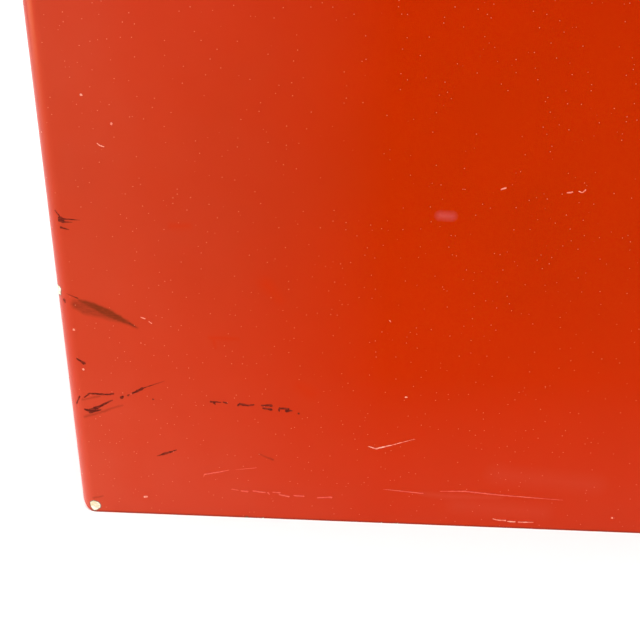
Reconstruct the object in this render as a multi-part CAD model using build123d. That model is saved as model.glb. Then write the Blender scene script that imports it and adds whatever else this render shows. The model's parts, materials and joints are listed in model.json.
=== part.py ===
"""Coin-operated newspaper vending box of painted sheet steel, standing flat on the ground.

Frame, in millimetres: X is the width, the front faces -Y and +Z is up. The origin is on the ground at
the centre of the four anchor holes. The door and the drawer are shut, and both locks are released.
"""

from build123d import *
import math
import os

# ---------------------------------------------------------------- driving dimensions
WIDTH, DEPTH, HEIGHT = 508.0, 432.0, 1000.0  # painted body without the cap
SHEET = 2.0
EDGE_R = 9.5  # outside radius of the body's upright edges
FOOT_R = 9.0  # radius of the body's lower rear corner, seen from the side
JAMB = 30.0  # width of each front return
FOOT_FLANGE = 25.0
HALF_W = WIDTH / 2
FRONT, BACK = -DEPTH / 2, DEPTH / 2
INNER_X = HALF_W - SHEET
JAMB_X = HALF_W - JAMB
PLAY = 0.3  # gap between faces that move past each other
LINER_GAP = 0.2  # gap between the body's wall and what is fixed inside it

# Door and hinge
DOOR_HALF_W = 244.0
DOOR_LOW, DOOR_TOP = 430.0, 974.0
SEAL_T = 2.0
DOOR_BACK = FRONT - SEAL_T - PLAY
DOOR_DEEP = 20.0
DOOR_FACE = DOOR_BACK - DOOR_DEEP
DOOR_SKIN = DOOR_FACE + SHEET  # inner side of the door's face
HINGE_DROP = 12.0  # from the door's lower edge, and from the body's front, to the hinge axis
HINGE_Y, HINGE_Z = FRONT - HINGE_DROP, DOOR_LOW - HINGE_DROP
HINGE_ROD_R = 5.0
DOOR_SWING = 65.0

# Window
WINDOW_HALF_W, WINDOW_LOW, WINDOW_TOP, WINDOW_R = 184.0, 606.0, 900.0, 18.0
TRIM_W = 22.0
TRIM_T = 2.0
PANE_T = 3.0
PANE_LAP = 10.0
GASKET_T = 1.5
RETAINER_T = 1.5

# Lower panel and rails
PANEL_LOW, PANEL_TOP = 14.0, 396.0
SHELF_Z = 452.0
TOP_RAIL_LOW = 952.0
CAP_GAP = 0.5
CAP_SKIRT = 22.0
CAP_EAVE = 30.0  # how far the cap stands out over the door

# Coin head
HEAD_HALF_W, HEAD_FRONT, HEAD_BACK = 94.0, -206.0, -16.0
HEAD_LOW, HEAD_TOP, HEAD_R = HEIGHT + SHEET, 1196.0, 9.0
PLATE_T = 2.5
PLATE_FRONT = HEAD_FRONT - PLATE_T
COIN_X = -38.0
COIN_SLOT_Z = 1149.5
BUTTON_X, BUTTON_Z = -4.0, 1147.0
LOCK_X, LOCK_Z = -40.0, 1094.0
FLAP_Y, FLAP_Z = -200.0, 1072.0
CUP = (11.0, 65.0, 1024.0, 1080.0)  # low x, high x, low z, high z
DRAWER = (-69.5, -10.5, 1016.0, 1077.0)

# Latch train
LATCH_Y, LATCH_Z = -140.0, 968.0
LATCH_TURN = 8.0
TRIP_Y = -90.0
LEVER_Y, LEVER_Z = -60.0, 1112.0
PIVOT_R = 3.0
PIVOT_BORE_R = PIVOT_R + 0.05
LEVER_TURN = LATCH_TURN * (TRIP_Y - LATCH_Y) / (LEVER_Y - TRIP_Y)

parts = {}


def node(name, shape):
    """Keeps a shape as the named piece."""
    parts[name] = shape


# ---------------------------------------------------------------- shape helpers
def block(x0, x1, y0, y1, z0, z1):
    size = (x1 - x0, y1 - y0, z1 - z0)
    return Pos((x0 + x1) / 2, (y0 + y1) / 2, (z0 + z1) / 2) * Box(*size)


def rounded(x0, x1, y0, y1, z0, z1, axis, radius):
    """A block whose four edges along an axis are rounded."""
    shape = block(x0, x1, y0, y1, z0, z1)
    return fillet(shape.edges().filter_by(axis), radius)


def bar(radius, start, end):
    """A round bar between two points."""
    start, end = Vector(*start), Vector(*end)
    along = end - start
    return Plane(origin=start, z_dir=along) * Cylinder(
        radius, along.length, align=(Align.CENTER, Align.CENTER, Align.MIN)
    )


def along_x(radius, x0, x1, y, z):
    return bar(radius, (x0, y, z), (x1, y, z))


def along_y(radius, y0, y1, x, z):
    return bar(radius, (x, y0, z), (x, y1, z))


def along_z(radius, z0, z1, x, y):
    return bar(radius, (x, y, z0), (x, y, z1))


def both_sides(shape):
    """The shape and its mirror image across the middle of the box."""
    return shape + mirror(shape, about=Plane.YZ)


def frame_ring(outer, inner, y0, y1, outer_r, inner_r):
    """A flat ring in the XZ plane. outer and inner are (half width, low z, high z)."""
    plate = rounded(-outer[0], outer[0], y0, y1, outer[1], outer[2], Axis.Y, outer_r)
    hole = rounded(-inner[0], inner[0], y0 - 1, y1 + 1, inner[1], inner[2], Axis.Y, inner_r)
    return plate - hole


def pan(half_w, low, top, face_y, back_y, corner_r, press_r):
    """A pressed cover: a front face with a rounded rim that turns back towards the body."""
    outer = rounded(-half_w, half_w, face_y, back_y, low, top, Axis.Y, corner_r)
    outer = fillet(outer.faces().sort_by(Axis.Y)[0].edges(), press_r)
    t = SHEET
    inner = rounded(t - half_w, half_w - t, face_y + t, back_y + 1, low + t, top - t, Axis.Y, corner_r - t)
    inner = fillet(inner.faces().sort_by(Axis.Y)[0].edges(), press_r - t)
    return outer - inner


def dome_head(radius, height, at, outward):
    """A low round fastener head standing on a surface point."""
    head = Cylinder(radius, height, align=(Align.CENTER, Align.CENTER, Align.MIN))
    head = fillet(head.faces().sort_by(Axis.Z)[-1].edges(), height * 0.75)
    return Plane(origin=at, z_dir=outward) * head


def fastener(at, outward, grip, shank_r, head_r, head_h, tail_r=0.0, tail_h=0.0, socket=0.0):
    """A headed pin through a grip, with an optional hexagon socket and an optional nut or set end behind."""
    out = Vector(*outward)
    at = Vector(*at)
    end = at - out * (grip + tail_h)
    shape = dome_head(head_r, head_h, at, out) + bar(shank_r, tuple(at), tuple(end))
    if tail_r:
        shape += bar(tail_r, tuple(at - out * grip), tuple(end))
    if socket:
        hexagon = extrude(RegularPolygon(socket, 6), -head_h * 0.6)
        shape -= Plane(origin=at + out * head_h, z_dir=out) * hexagon
    return shape


def spiral(radius, wire_r, length, turns, legs=None):
    """A coil about +Z from z = 0, with straight legs of two lengths running on from its ends."""
    path = Helix(pitch=length / turns, height=length, radius=radius)
    if legs:
        start = Edge.make_line(path @ 0 - (path % 0) * legs[0], path @ 0)
        end = Edge.make_line(path @ 1, path @ 1 + (path % 1) * legs[1])
        path = Wire([start, *path.edges(), end])
    return sweep(Plane(origin=path @ 0, z_dir=path % 0) * Circle(wire_r), path=path)


def wedge(pivot_y, pivot_z, low_deg, high_deg, reach, x0, x1):
    """A pie slice about an axis along X, with angles measured from +Z towards +Y."""
    middle = (low_deg + high_deg) / 2
    rim = [
        (pivot_y + reach * math.sin(math.radians(a)), pivot_z + reach * math.cos(math.radians(a)))
        for a in (low_deg, middle, high_deg)
    ]
    face = make_face(Polyline((pivot_y, pivot_z), *rim, close=True))
    return Pos(x0, 0, 0) * extrude(Plane.YZ * face, x1 - x0)


def interior(z0, z1, x_gap=LINER_GAP):
    """The space inside the body's walls, for trimming what is fixed to them."""
    side = INNER_X - x_gap
    return rounded(
        -side, side, FRONT + SHEET + x_gap, BACK - SHEET - x_gap, z0, z1, Axis.Z, EDGE_R - SHEET
    )


# ---------------------------------------------------------------- body
CAP_RIVET_Z = HEIGHT - 9.0
CAP_SIDE = HALF_W + CAP_GAP + SHEET
CAP_RIVETS = [((s * CAP_SIDE, y, CAP_RIVET_Z), (s, 0, 0)) for s in (-1, 1) for y in (-150, -50, 50, 150)]
CAP_RIVETS += [((x, BACK + CAP_GAP + SHEET, CAP_RIVET_Z), (0, 1, 0)) for x in (-160, 0, 160)]
RIVET_R = 2.4
RIVET_GRIP = SHEET * 2 + CAP_GAP
PANEL_SCREWS = [(s * (JAMB_X + 10), DOOR_FACE, z) for s in (-1, 1) for z in (36, 205, 374)]
PANEL_SCREW_R = 3.0
EYE_Z = 600.0
EYE_BOLTS = [(x, BACK + 4, EYE_Z + z) for x in (-20, 20) for z in (-20, 20)]
HEAD_BOLTS = [(s * 84, y) for s in (-1, 1) for y in (-180, -32)]
HEAD_BOLT_R = 3.0


def foot_profile(low, back, radius):
    """Everything ahead of and above a rounded lower rear corner."""
    shape = block(-HALF_W - 1, HALF_W + 1, FRONT - 1, back, low, HEIGHT + 2)
    corner = shape.edges().filter_by(Axis.X).sort_by(Axis.Z)[:2].sort_by(Axis.Y)[-1]
    return fillet(corner, radius)


def cabinet_shell():
    """Sides, back and front returns in one wrap, turned in at the foot."""
    t = SHEET
    outer = rounded(-HALF_W, HALF_W, FRONT, BACK, 0, HEIGHT, Axis.Z, EDGE_R) & foot_profile(0, BACK, FOOT_R)
    inner = rounded(-INNER_X, INNER_X, FRONT + t, BACK - t, t, HEIGHT + 1, Axis.Z, EDGE_R - t)
    inner &= foot_profile(t, BACK - t, FOOT_R - t)
    shell = outer - inner
    shell -= block(-JAMB_X, JAMB_X, FRONT - 1, FRONT + t + 1, t, HEIGHT + 1)
    f = FOOT_FLANGE
    shell -= block(-HALF_W + f, HALF_W - f, FRONT + f, BACK - f, -1, t + 1)
    for at, out in CAP_RIVETS:
        shell -= bar(RIVET_R, at, tuple(Vector(*at) - Vector(*out) * 10))
    for x, y, z in PANEL_SCREWS:
        shell -= along_y(PANEL_SCREW_R, FRONT - 1, FRONT + t + 1, x, z)
    for x, y, z in EYE_BOLTS:
        shell -= along_y(PANEL_SCREW_R, BACK - t - 1, BACK + 1, x, z)
    return shell


def top_cap():
    """A shallow lid with a skirt, whose front edge is an eave over the door."""
    g, t = CAP_GAP, SHEET
    low, top = HEIGHT - CAP_SKIRT + t, HEIGHT + t
    side, front, back = HALF_W + g + t, FRONT - CAP_EAVE, BACK + g + t
    cap = rounded(-side, side, front, back, low, top, Axis.Z, EDGE_R + g + t)
    cap = fillet(cap.faces().sort_by(Axis.Z)[-1].edges(), 3.5)
    cap -= rounded(-side + t, side - t, front + t, back - t, low - 1, top - t, Axis.Z, EDGE_R + g)
    for at, out in CAP_RIVETS:
        cap -= bar(RIVET_R, tuple(Vector(*at) + Vector(*out)), tuple(Vector(*at) - Vector(*out) * 10))
    for x, y in HEAD_BOLTS:
        cap -= along_z(HEAD_BOLT_R, HEIGHT - 1, top + 1, x, y)
    cap -= along_z(5.0, HEIGHT - 1, top + 1, 0, TRIP_Y)
    return cap


ANCHOR_X, ANCHOR_Y, ANCHOR_R = 180.0, 150.0, 7.0
BASE_T = 5.0


def base_plate():
    """Floor plate, stepped so that it lies on the foot flange and is level with the ground."""
    f = FOOT_FLANGE + 0.5
    low = block(-HALF_W + f, HALF_W - f, FRONT + f, BACK - f, 0, SHEET)
    wide = rounded(-250, 250, FRONT + 4, BACK - FOOT_R - 1, SHEET, BASE_T, Axis.Z, 8)
    plate = low + wide
    for x in (-ANCHOR_X, ANCHOR_X):
        for y in (-ANCHOR_Y, ANCHOR_Y):
            plate -= along_z(ANCHOR_R, -1, BASE_T + 1, x, y)
    return plate


def rail(low, top, deep):
    """A channel across the body: a web flush with the returns, and two flanges that reach the side walls."""
    t = SHEET
    web = block(-JAMB_X + 0.5, JAMB_X - 0.5, FRONT, FRONT + t, low, top)
    flanges = block(-INNER_X, INNER_X, FRONT, FRONT + deep, low, low + t)
    flanges += block(-INNER_X, INNER_X, FRONT, FRONT + deep, top - t, top)
    ends = both_sides(block(INNER_X - LINER_GAP - t, INNER_X, FRONT, FRONT + deep, low, top))
    inside = (flanges + ends) & interior(low - 1, top + 1)
    lips = block(-JAMB_X + 0.5, JAMB_X - 0.5, FRONT, FRONT + t + 1, low, low + t)
    lips += block(-JAMB_X + 0.5, JAMB_X - 0.5, FRONT, FRONT + t + 1, top - t, top)
    return web + inside + lips


def paper_shelf():
    """Tray floor of the paper compartment, with its rim turned up at the sides and back."""
    t, rim = SHEET, 20.0
    tray = block(-INNER_X, INNER_X, FRONT + 3, BACK, SHELF_Z, SHELF_Z + t + rim)
    tray &= interior(SHELF_Z - 1, SHELF_Z + 50)
    side = INNER_X - LINER_GAP - t
    return tray - block(-side, side, FRONT, BACK - 2 * t - LINER_GAP, SHELF_Z + t, SHELF_Z + 60)


GUIDE_X, GUIDE_T, GUIDE_TOP = 204.0, 1.5, 700.0


def paper_guides():
    """Upright sheets that keep the stack clear of the door's stays."""
    foot_z = SHELF_Z + SHEET
    sheet = rounded(GUIDE_X, GUIDE_X + GUIDE_T, -186, 206, foot_z - 30, GUIDE_TOP, Axis.X, 26)
    sheet &= block(GUIDE_X, GUIDE_X + GUIDE_T, -186, 206, foot_z, GUIDE_TOP)
    sheet += block(GUIDE_X, GUIDE_X + 14, -150, 200, foot_z, foot_z + GUIDE_T)
    return both_sides(sheet)


def weatherstrip():
    lap = 6.0
    outer = (DOOR_HALF_W + 2, DOOR_LOW, DOOR_TOP)
    inner = (DOOR_HALF_W - lap, DOOR_LOW + lap + 2, DOOR_TOP - lap - 2)
    return frame_ring(outer, inner, FRONT - SEAL_T, FRONT, 10, 6)


def security_eye():
    """Plate and lug on the back that a chain or padlock goes through."""
    plate = rounded(-30, 30, BACK, BACK + 4, EYE_Z - 30, EYE_Z + 30, Axis.Y, 6)
    hole_y = BACK + 20
    lug = along_x(14, -4, 4, hole_y, EYE_Z) + block(-4, 4, BACK + 4, hole_y, EYE_Z - 14, EYE_Z + 14)
    eye = plate + lug - along_x(7, -5, 5, hole_y, EYE_Z)
    for x, y, z in EYE_BOLTS:
        eye -= along_y(PANEL_SCREW_R, BACK - 1, BACK + 5, x, z)
    return eye


def lower_front_panel():
    panel = pan(DOOR_HALF_W, PANEL_LOW, PANEL_TOP, DOOR_FACE, FRONT, 12, 5)
    for x, y, z in PANEL_SCREWS:
        panel -= along_y(PANEL_SCREW_R, DOOR_FACE - 1, DOOR_SKIN + 1, x, z)
    return panel


CARD_HALF_W, CARD_LOW, CARD_TOP = 146.0, 96.0, 330.0


def rack_card_frame():
    """Three-sided channel on the lower panel that takes a printed card from above."""
    lip, deep = 8.0, 7.0
    w, low, top = CARD_HALF_W, CARD_LOW, CARD_TOP
    frame = rounded(-w - 4, w + 4, DOOR_FACE - deep, DOOR_FACE, low - 6, top, Axis.Y, 4)
    frame -= rounded(-w + lip, w - lip, DOOR_FACE - deep - 1, DOOR_FACE + 1, low + lip, top + 40, Axis.Y, 4)
    frame -= block(-w, w, DOOR_FACE - 3.3, DOOR_FACE - 0.9, low, top + 1)
    return frame


BALLAST = (150.0, 110.0, 100.0)


def ballast_strap():
    """Flat steel strap over the ballast, with a foot on each side."""
    x, y, h = BALLAST
    strap = block(-x - 3, x + 3, -20, 20, BASE_T, BASE_T + h + 3)
    strap -= block(-x, x, -21, 21, BASE_T - 1, BASE_T + h)
    return strap + both_sides(block(x + 3, x + 30, -20, 20, BASE_T, BASE_T + 3))


def security_screws():
    """Domed screws with nuts, which hold the lower panel and the security eye."""
    panel_grip = FRONT + SHEET - DOOR_FACE
    size = (PANEL_SCREW_R, 6.0, 3.2, 5.5, 4.0, 2.2)
    screws = [fastener(at, (0, -1, 0), panel_grip, *size) for at in PANEL_SCREWS]
    return Part() + screws + [fastener(at, (0, 1, 0), 4 + SHEET, *size) for at in EYE_BOLTS]


def cap_rivets():
    return Part() + [fastener(at, out, RIVET_GRIP, RIVET_R, 4.6, 2.0, 3.6, 1.2) for at, out in CAP_RIVETS]


def make_body():
    node("cabinet_shell", cabinet_shell())
    node("top_cap", top_cap())
    node("base_plate", base_plate())
    node("mid_rail", rail(PANEL_TOP, SHELF_Z, 26))
    latch_notch = block(-7, 7, FRONT + 3, FRONT + 30, TOP_RAIL_LOW - 1, TOP_RAIL_LOW + 10)
    node("top_rail", rail(TOP_RAIL_LOW, HEIGHT, 21) - latch_notch)
    node("paper_shelf", paper_shelf())
    node("paper_guides", paper_guides())
    node("weatherstrip", weatherstrip())
    node("security_eye", security_eye())
    node("lower_front_panel", lower_front_panel())
    node("rack_card_frame", rack_card_frame())
    w = CARD_HALF_W - 0.5
    node("rack_card", block(-w, w, DOOR_FACE - 1.7, DOOR_FACE - 1.0, CARD_LOW + 0.5, CARD_TOP - 2))
    node("rack_card_cover", block(-w, w, DOOR_FACE - 3.2, DOOR_FACE - 1.8, CARD_LOW + 0.3, CARD_TOP))
    x, y, h = BALLAST
    concrete = rounded(-x, x, -y, y, BASE_T, BASE_T + h, Axis.Z, 12)
    node("ballast_block", chamfer(concrete.faces().sort_by(Axis.Z)[-1].edges(), 5))
    node("ballast_strap", ballast_strap())
    node("cap_rivets", cap_rivets())
    node("security_screws", security_screws())


# ---------------------------------------------------------------- hinge and stays
CABINET_LUGS = (219.0, 153.0)
DOOR_LUGS = (210.0, 85.0)
LUG_T, LUG_R = 6.0, 9.0
STAY_R, STAY_W, STAY_X, STAY_T = 270.0, 36.0, 214.75, 2.5
STUD_DEG = 6.0
STUD_R = 4.0
STUD_Y = HINGE_Y + STAY_R * math.sin(math.radians(STUD_DEG))
STUD_Z = HINGE_Z + STAY_R * math.cos(math.radians(STUD_DEG))
SPRING_X, SPRING_R, SPRING_WIRE, SPRING_LONG = 94.4, 9.0, 2.4, 50.8
SPRING_TURNS = 9.25


def hinge_brackets():
    """Fixed lugs of the door hinge, welded to the middle rail."""
    lugs = Part()
    for x in CABINET_LUGS:
        x0, x1 = x - LUG_T / 2, x + LUG_T / 2
        lugs += along_x(LUG_R, x0, x1, HINGE_Y, HINGE_Z)
        lugs += block(x0, x1, HINGE_Y, FRONT, HINGE_Z - LUG_R, HINGE_Z + LUG_R)
        lugs += rounded(x0 - 1, x1 + 10, FRONT - SHEET, FRONT, HINGE_Z - 18, HINGE_Z + 10, Axis.Y, 3)
        lugs -= along_x(HINGE_ROD_R, x0 - 1, x1 + 1, HINGE_Y, HINGE_Z)
    return both_sides(lugs)


def door_hinge_lugs():
    lugs = Part()
    for x in DOOR_LUGS:
        x0, x1 = x - LUG_T / 2, x + LUG_T / 2
        lugs += along_x(LUG_R, x0, x1, HINGE_Y, HINGE_Z)
        lugs += block(x0, x1, HINGE_Y - LUG_R, HINGE_Y + LUG_R, HINGE_Z, DOOR_LOW)
        lugs -= along_x(HINGE_ROD_R + 0.06, x0 - 1, x1 + 1, HINGE_Y, HINGE_Z)
    return both_sides(lugs)


def hinge_rod():
    reach = CABINET_LUGS[0] + LUG_T / 2
    rod = along_x(HINGE_ROD_R, -reach, reach, HINGE_Y, HINGE_Z)
    return rod + both_sides(dome_head(7.5, 2.5, (reach, HINGE_Y, HINGE_Z), (1, 0, 0)))


def hinge_springs():
    """Torsion springs round the hinge rod: one leg bears on the rail and the other under the door."""
    place = Plane(origin=(SPRING_X, HINGE_Y, HINGE_Z), x_dir=(0, 1, 0), z_dir=(1, 0, 0))
    return both_sides(place * spiral(SPRING_R, SPRING_WIRE, SPRING_LONG, SPRING_TURNS, (18, 9)))


def door_stays():
    """Curved stays, centred on the hinge, whose slots stop the door on fixed studs."""
    x0, x1 = STAY_X, STAY_X + STAY_T

    def ring(radius, width, low, high):
        hoop = along_x(radius + width / 2, x0, x1, HINGE_Y, HINGE_Z)
        hoop -= along_x(radius - width / 2, x0 - 1, x1 + 1, HINGE_Y, HINGE_Z)
        return hoop & wedge(HINGE_Y, HINGE_Z, low, high, 2 * radius, x0, x1)

    slot_r = STUD_R + PLAY
    slot_low, slot_high = STUD_DEG - 0.5, STUD_DEG + DOOR_SWING + 0.5
    stay = ring(STAY_R, STAY_W, -3, slot_high + 4)
    stay -= block(x0 - 1, x1 + 1, DOOR_FACE - 30, DOOR_SKIN, HINGE_Z, HINGE_Z + 2 * STAY_R)
    slot = ring(STAY_R, 2 * slot_r, slot_low, slot_high)
    for a in (slot_low, slot_high):
        y = HINGE_Y + STAY_R * math.sin(math.radians(a))
        z = HINGE_Z + STAY_R * math.cos(math.radians(a))
        slot += along_x(slot_r, x0, x1, y, z)
    stay -= slot
    low, top = HINGE_Z + STAY_R - STAY_W / 2 + 2, HINGE_Z + STAY_R + STAY_W / 2 - 2
    stay += block(x0, 237, DOOR_SKIN, DOOR_SKIN + SHEET, low - 6, top + 6)
    return both_sides(stay)


def stay_brackets():
    web_x = STAY_X + 4.25
    web = block(web_x, web_x + SHEET, FRONT + SHEET, FRONT + 30, STUD_Z - 16, STUD_Z + 16)
    foot = block(web_x, INNER_X - EDGE_R, FRONT + SHEET, FRONT + 2 * SHEET, STUD_Z - 16, STUD_Z + 16)
    return both_sides(web + foot - along_x(STUD_R, web_x - 1, web_x + 3, STUD_Y, STUD_Z))


def stay_studs():
    web_x = STAY_X + 4.25
    head_x = STAY_X - 2.3
    grip = web_x + SHEET - head_x
    return both_sides(fastener((head_x, STUD_Y, STUD_Z), (-1, 0, 0), grip, STUD_R, 8.0, 3.2, 7.0, 4.5))


def make_hinge():
    node("hinge_brackets", hinge_brackets())
    node("door_hinge_lugs", door_hinge_lugs())
    node("hinge_rod", hinge_rod())
    node("hinge_springs", hinge_springs())
    node("door_stays", door_stays())
    node("stay_brackets", stay_brackets())
    node("stay_studs", stay_studs())


# ---------------------------------------------------------------- door
HANDLE_X, HANDLE_Z, HANDLE_REACH, HANDLE_BAR_R = 60.0, 947.0, 30.0, 6.5
HANDLE_SCREW_R = 3.0
KEEPER_LOW, KEEPER_T = 936.0, 3.0
BOLT_INSET = 16.0
BOLT_ROWS = (WINDOW_LOW - BOLT_INSET, WINDOW_TOP + BOLT_INSET)
WINDOW_BOLTS = [(x, z) for x in (-150, -50, 50, 150) for z in BOLT_ROWS]
WINDOW_BOLTS += [(s * (WINDOW_HALF_W + BOLT_INSET), z) for s in (-1, 1) for z in (653, 753, 853)]
WINDOW_BOLT_R = 2.0
RACK_Y, RACK_LOW, RACK_TOP, RACK_HALF_W, RACK_WIRE = -223.6, 597.0, 890.0, 160.0, 2.0
RACK_CLIP_X = 120.0


def window_box(grow):
    """Window size as (half width, low z, high z), grown on every side."""
    return (WINDOW_HALF_W + grow, WINDOW_LOW - grow, WINDOW_TOP + grow)


def door_panel():
    door = pan(DOOR_HALF_W, DOOR_LOW, DOOR_TOP, DOOR_FACE, DOOR_BACK, 12, 5)
    w, low, top = window_box(0)
    door -= rounded(-w, w, DOOR_FACE - 1, DOOR_SKIN + 1, low, top, Axis.Y, WINDOW_R)
    for x, z in WINDOW_BOLTS:
        door -= along_y(WINDOW_BOLT_R, DOOR_FACE - 1, DOOR_SKIN + 1, x, z)
    for x in (-HANDLE_X, HANDLE_X):
        door -= along_y(HANDLE_SCREW_R, DOOR_FACE - 1, DOOR_SKIN + 1, x, HANDLE_Z)
    return door


def window_trim():
    y0, y1 = DOOR_FACE - TRIM_T, DOOR_FACE
    trim = frame_ring(window_box(TRIM_W), window_box(0), y0, y1, WINDOW_R + 8, WINDOW_R)
    trim = chamfer(trim.faces().sort_by(Axis.Y)[0].edges(), 0.8)
    for x, z in WINDOW_BOLTS:
        trim -= along_y(WINDOW_BOLT_R, DOOR_FACE - TRIM_T - 1, DOOR_FACE + 1, x, z)
    return trim


def window_retainer():
    y0 = DOOR_SKIN + GASKET_T + PANE_T
    ring = frame_ring(window_box(TRIM_W), window_box(2), y0, y0 + RETAINER_T, WINDOW_R + 6, WINDOW_R - 2)
    for x, z in WINDOW_BOLTS:
        ring -= along_y(WINDOW_BOLT_R, y0 - 1, y0 + RETAINER_T + 1, x, z)
    return ring


def window_bolts():
    grip = TRIM_T + SHEET + GASKET_T + PANE_T + RETAINER_T
    at_y = DOOR_FACE - TRIM_T
    return Part() + [
        fastener((x, at_y, z), (0, -1, 0), grip, WINDOW_BOLT_R, 4.2, 1.8, 3.8, 3.0) for x, z in WINDOW_BOLTS
    ]


def door_handle():
    """Round bow handle on two flanged feet."""
    bow_y = DOOR_FACE - HANDLE_REACH
    path = FilletPolyline(
        (-HANDLE_X, DOOR_FACE, HANDLE_Z),
        (-HANDLE_X, bow_y, HANDLE_Z),
        (HANDLE_X, bow_y, HANDLE_Z),
        (HANDLE_X, DOOR_FACE, HANDLE_Z),
        radius=16,
    )
    handle = sweep(Plane(origin=path @ 0, z_dir=path % 0) * Circle(HANDLE_BAR_R), path=path)
    handle += both_sides(dome_head(13, 4, (HANDLE_X, DOOR_FACE, HANDLE_Z), (0, -1, 0)))
    for x in (-HANDLE_X, HANDLE_X):
        handle -= along_y(HANDLE_SCREW_R, DOOR_FACE - 12, DOOR_FACE + 1, x, HANDLE_Z)
    return handle


def handle_screws():
    return Part() + [
        fastener((x, DOOR_SKIN, HANDLE_Z), (0, 1, 0), SHEET + 11, HANDLE_SCREW_R, 6, 3, 0, 0, 2.2)
        for x in (-HANDLE_X, HANDLE_X)
    ]


def keeper():
    """Angle behind the door's top edge, with the hole that the latch drops into."""
    tab = block(-14, 14, DOOR_SKIN, DOOR_SKIN + KEEPER_T, KEEPER_LOW, KEEPER_LOW + 30)
    arm = rounded(-14, 14, DOOR_SKIN - 20, -189, KEEPER_LOW, KEEPER_LOW + KEEPER_T, Axis.Z, 5)
    arm &= block(-14, 14, DOOR_SKIN, -189, KEEPER_LOW, KEEPER_LOW + KEEPER_T)
    return tab + arm - rounded(-5.5, 5.5, -206, -194, KEEPER_LOW - 1, KEEPER_LOW + 5, Axis.Z, 1.5)


def display_rack():
    """Wire rack that holds a front page against the window, and tips back on its lower wire."""
    w, r = RACK_HALF_W, RACK_WIRE
    corner = 14.0
    corners = [(-w, RACK_LOW), (w, RACK_LOW), (w, RACK_TOP), (-w, RACK_TOP)]
    loop = FilletPolyline(*[(x, RACK_Y, z) for x, z in corners], radius=corner, close=True)
    rack = sweep(Plane(origin=loop @ 0, z_dir=loop % 0) * Circle(r), path=loop)
    for x in (-80, 0, 80):
        rack += along_z(r, RACK_LOW, RACK_TOP, x, RACK_Y)
    for z in (695, 793):
        rack += along_x(r, -w, w, RACK_Y, z)
    return rack


def rack_clips():
    """Blocks on the window's retainer that the rack's lower wire turns in."""
    y0 = DOOR_SKIN + GASKET_T + PANE_T + RETAINER_T
    clip = rounded(RACK_CLIP_X - 7, RACK_CLIP_X + 7, y0, RACK_Y + 5, RACK_LOW - 6, RACK_LOW + 6, Axis.X, 2.5)
    return both_sides(clip - along_x(RACK_WIRE + 0.06, RACK_CLIP_X - 8, RACK_CLIP_X + 8, RACK_Y, RACK_LOW))


def make_door():
    node("door_panel", door_panel())
    node("window_trim", window_trim())
    y = DOOR_SKIN
    gasket = frame_ring(window_box(PANE_LAP), window_box(-2), y, y + GASKET_T, 14, WINDOW_R - 2)
    node("window_gasket", gasket)
    y += GASKET_T
    w, low, top = window_box(PANE_LAP)
    node("window_pane", rounded(-w, w, y, y + PANE_T, low, top, Axis.Y, 14))
    node("window_retainer", window_retainer())
    node("window_bolts", window_bolts())
    node("door_handle", door_handle())
    node("handle_screws", handle_screws())
    node("keeper", keeper())
    node("display_rack", display_rack())
    node("rack_clips", rack_clips())


# ---------------------------------------------------------------- latch train
def latch_lever():
    """Two-armed lever: the nose drops into the keeper, and the tail carries the trip rod."""
    profile = Polyline(
        (LATCH_Y + 56, LATCH_Z + 6),
        (LATCH_Y - 68, LATCH_Z + 6),
        (LATCH_Y - 68, LATCH_Z - 18),
        (LATCH_Y - 63, LATCH_Z - 26.5),
        (LATCH_Y - 60, LATCH_Z - 26.5),
        (LATCH_Y - 60, LATCH_Z - 6),
        (LATCH_Y + 56, LATCH_Z - 6),
        close=True,
    )
    lever = Pos(-3, 0, 0) * extrude(Plane.YZ * make_face(profile), 6)
    lever += along_x(8, -3, 3, LATCH_Y, LATCH_Z)
    return lever - along_x(PIVOT_BORE_R, -4, 4, LATCH_Y, LATCH_Z)


def latch_bracket():
    top = rounded(-20, 20, LATCH_Y - 20, LATCH_Y + 20, HEIGHT - SHEET, HEIGHT, Axis.Z, 4)
    cheek = rounded(5, 7, LATCH_Y - 12, LATCH_Y + 12, LATCH_Z - 10, HEIGHT + 10, Axis.X, 8)
    cheek &= block(5, 7, LATCH_Y - 12, LATCH_Y + 12, LATCH_Z - 10, HEIGHT)
    return top + both_sides(cheek) - along_x(PIVOT_R, -8, 8, LATCH_Y, LATCH_Z)


def trip_rod():
    """Round-ended rod that carries the coin lever's movement down to the latch."""
    r, low, top = 3.8, LATCH_Z + 6.5, LEVER_Z - 7.6
    rod = along_z(r, low + r, top - r, 0, TRIP_Y)
    for z in (low + r, top - r):
        rod += Pos(0, TRIP_Y, z) * Sphere(r)
    return rod + along_z(7, HEAD_LOW + 4.3, HEAD_LOW + 6.3, 0, TRIP_Y)


def coin_lever():
    """Coin arm and trip arm on one tube, drawn level, as when locked, then turned down by a coin."""
    lever = along_x(6, -44, 6, LEVER_Y, LEVER_Z)
    lever += block(COIN_X - 3, COIN_X + 3, -180, LEVER_Y, LEVER_Z - 2.5, LEVER_Z + 2.5)
    lever += rounded(COIN_X - 8, COIN_X + 8, -180, -158, LEVER_Z + 0.5, LEVER_Z + 2.5, Axis.Z, 3)
    lever += block(-3, 3, TRIP_Y - 8, LEVER_Y, LEVER_Z, LEVER_Z + 5)
    lever -= along_x(PIVOT_BORE_R, -45, 7, LEVER_Y, LEVER_Z)
    return lever.rotate(Axis((0, LEVER_Y, LEVER_Z), (1, 0, 0)), LEVER_TURN)


def pivot_pins():
    """Pins that the latch lever and the coin lever turn on."""
    pin = along_x(PIVOT_R, -7, 7, LATCH_Y, LATCH_Z)
    pin += both_sides(dome_head(5, 2, (7, LATCH_Y, LATCH_Z), (1, 0, 0)))
    return pin + along_x(PIVOT_R, -78, 14, LEVER_Y, LEVER_Z)


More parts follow.
